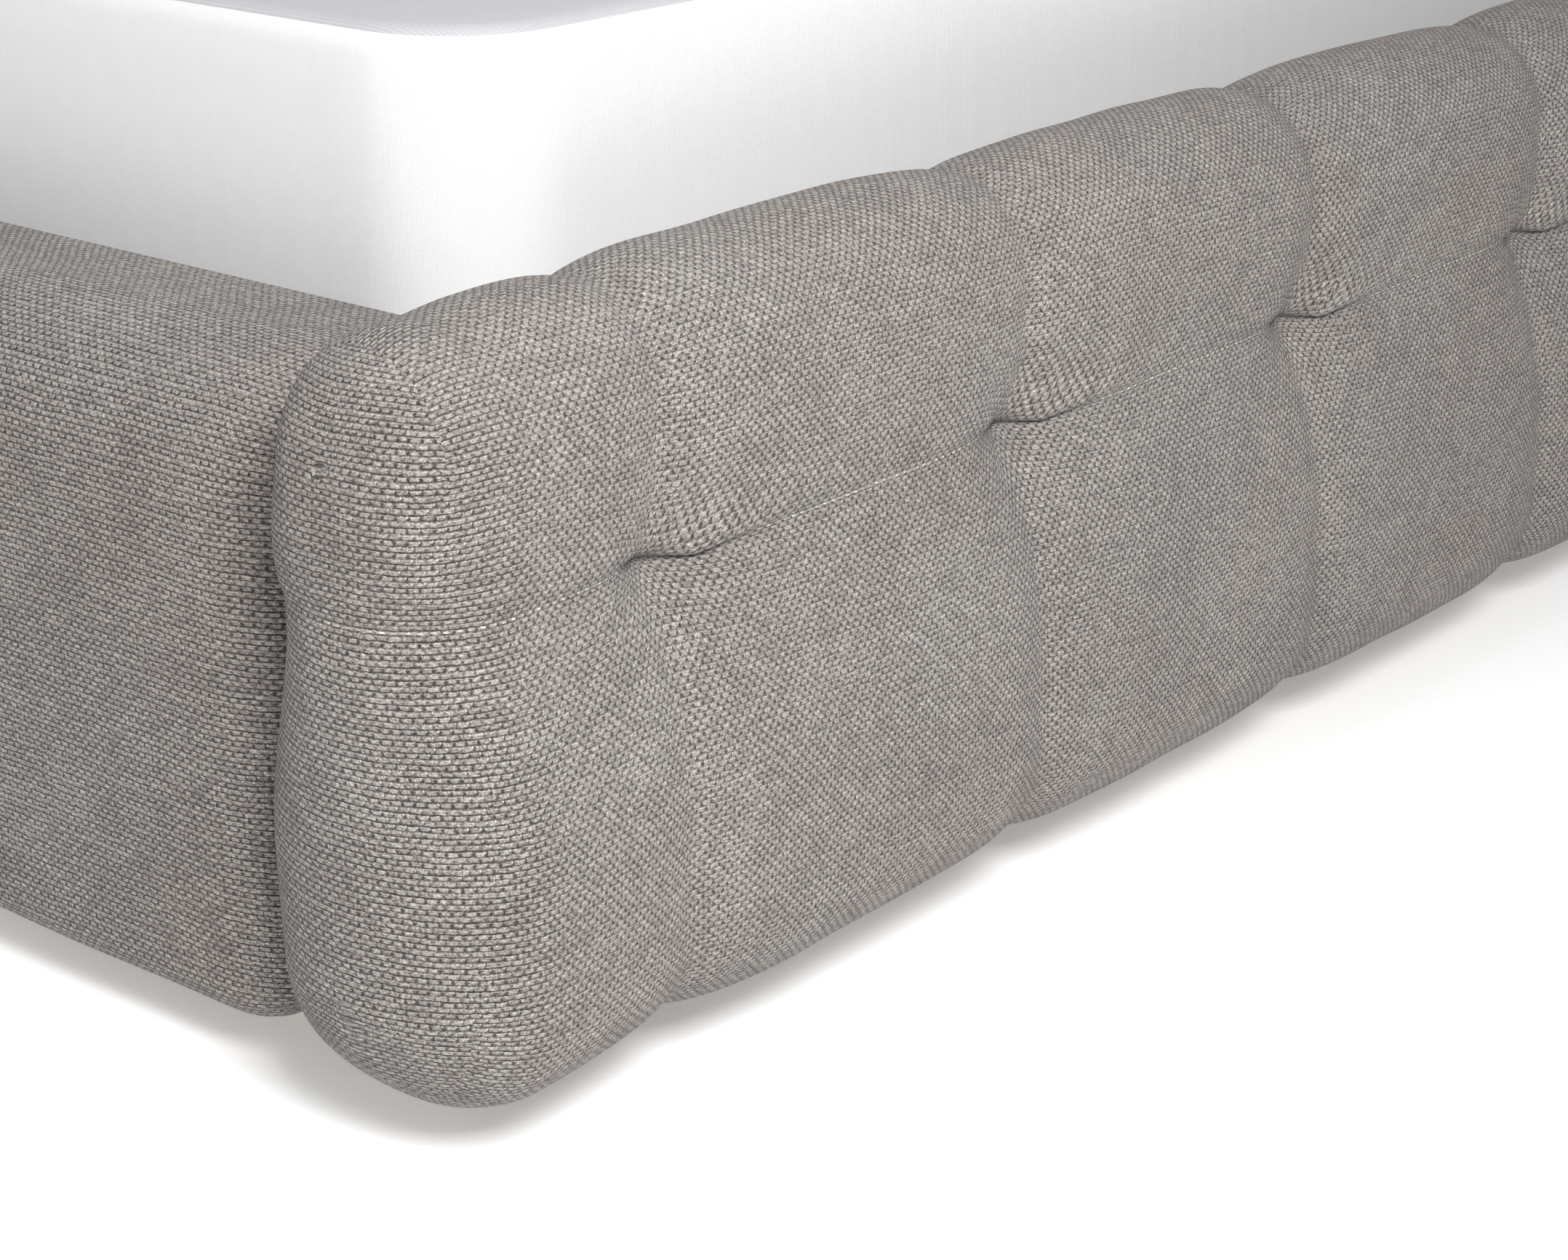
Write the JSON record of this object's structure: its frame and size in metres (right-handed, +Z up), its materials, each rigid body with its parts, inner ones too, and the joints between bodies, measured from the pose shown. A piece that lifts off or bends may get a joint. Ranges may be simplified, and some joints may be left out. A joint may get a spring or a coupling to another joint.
{
  "type": "sleigh bed",
  "caption": "Upholstered sleigh bed with a low tufted footboard, padded rails, a headboard swept back, a slatted base and a mattress.",
  "frame": {"origin": "on the floor under the middle of the whole bed", "axes": "+X to the right seen from the foot, +Y towards the headboard, +Z up"},
  "size_m": [1.84, 2.4668, 1.18],
  "materials": {
    "chenille": "matte",
    "ticking": "matte",
    "cambric": "matte",
    "webbing": "matte",
    "pine": "matte",
    "plywood": "matte",
    "black_steel": "satin",
    "zinc_steel": "satin",
    "black_plastic": "matte"
  },
  "bodies": {
    "bed_frame": {"footboard_pad": "chenille", "footboard_post_left": "pine", "footboard_post_right": "pine", "footboard_crossbar_lower": "pine", "footboard_crossbar_upper": "pine", "footboard_panel": "plywood", "footboard_dust_cover": "cambric", "headboard_pad": "chenille", "headboard_back": "chenille", "headboard_panel": "plywood", "headboard_post_left": "pine", "headboard_post_right": "pine", "headboard_crossbar_lower": "pine", "headboard_crossbar_middle": "pine", "headboard_crossbar_upper": "pine", "headboard_dust_cover": "cambric", "rail_pad_left": "chenille", "rail_board_left": "pine", "rail_ledger_left": "pine", "corner_bracket_foot_left": "black_steel", "corner_bolt_foot_left": "zinc_steel", "corner_bracket_head_left": "black_steel", "corner_bolt_head_left": "zinc_steel", "rail_pad_right": "chenille", "rail_board_right": "pine", "rail_ledger_right": "pine", "corner_bracket_foot_right": "black_steel", "corner_bolt_foot_right": "zinc_steel", "corner_bracket_head_right": "black_steel", "corner_bolt_head_right": "zinc_steel", "slat_01": "pine", "slat_02": "pine", "slat_03": "pine", "slat_04": "pine", "slat_05": "pine", "slat_06": "pine", "slat_07": "pine", "slat_08": "pine", "slat_09": "pine", "slat_10": "pine", "slat_11": "pine", "slat_strap_left": "webbing", "slat_strap_right": "webbing", "centre_beam": "pine", "beam_hanger_foot": "black_steel", "beam_hanger_head": "black_steel", "centre_leg_1": "pine", "centre_leg_2": "pine", "centre_leg_3": "pine", "glide_foot_left": "black_plastic", "glide_foot_right": "black_plastic", "glide_rail_left": "black_plastic", "glide_rail_right": "black_plastic", "glide_head_left": "black_plastic", "glide_head_right": "black_plastic"},
    "mattress": {"mattress": "ticking"},
    "levelling_foot_1": {"levelling_foot_1": "zinc_steel"},
    "levelling_foot_2": {"levelling_foot_2": "zinc_steel"},
    "levelling_foot_3": {"levelling_foot_3": "zinc_steel"}
  },
  "joints": [
    {"name": "mattress_lift", "type": "slide", "parent": "bed_frame", "child": "mattress", "axis": [0, 0, 1], "range_m": [0, 0.35]},
    {"name": "levelling_foot_1_travel", "type": "slide", "parent": "bed_frame", "child": "levelling_foot_1", "axis": [0, 0, -1], "range_m": [0, 0.015]},
    {"name": "levelling_foot_2_travel", "type": "slide", "parent": "bed_frame", "child": "levelling_foot_2", "axis": [0, 0, -1], "range_m": [0, 0.015]},
    {"name": "levelling_foot_3_travel", "type": "slide", "parent": "bed_frame", "child": "levelling_foot_3", "axis": [0, 0, -1], "range_m": [0, 0.015]}
  ]
}
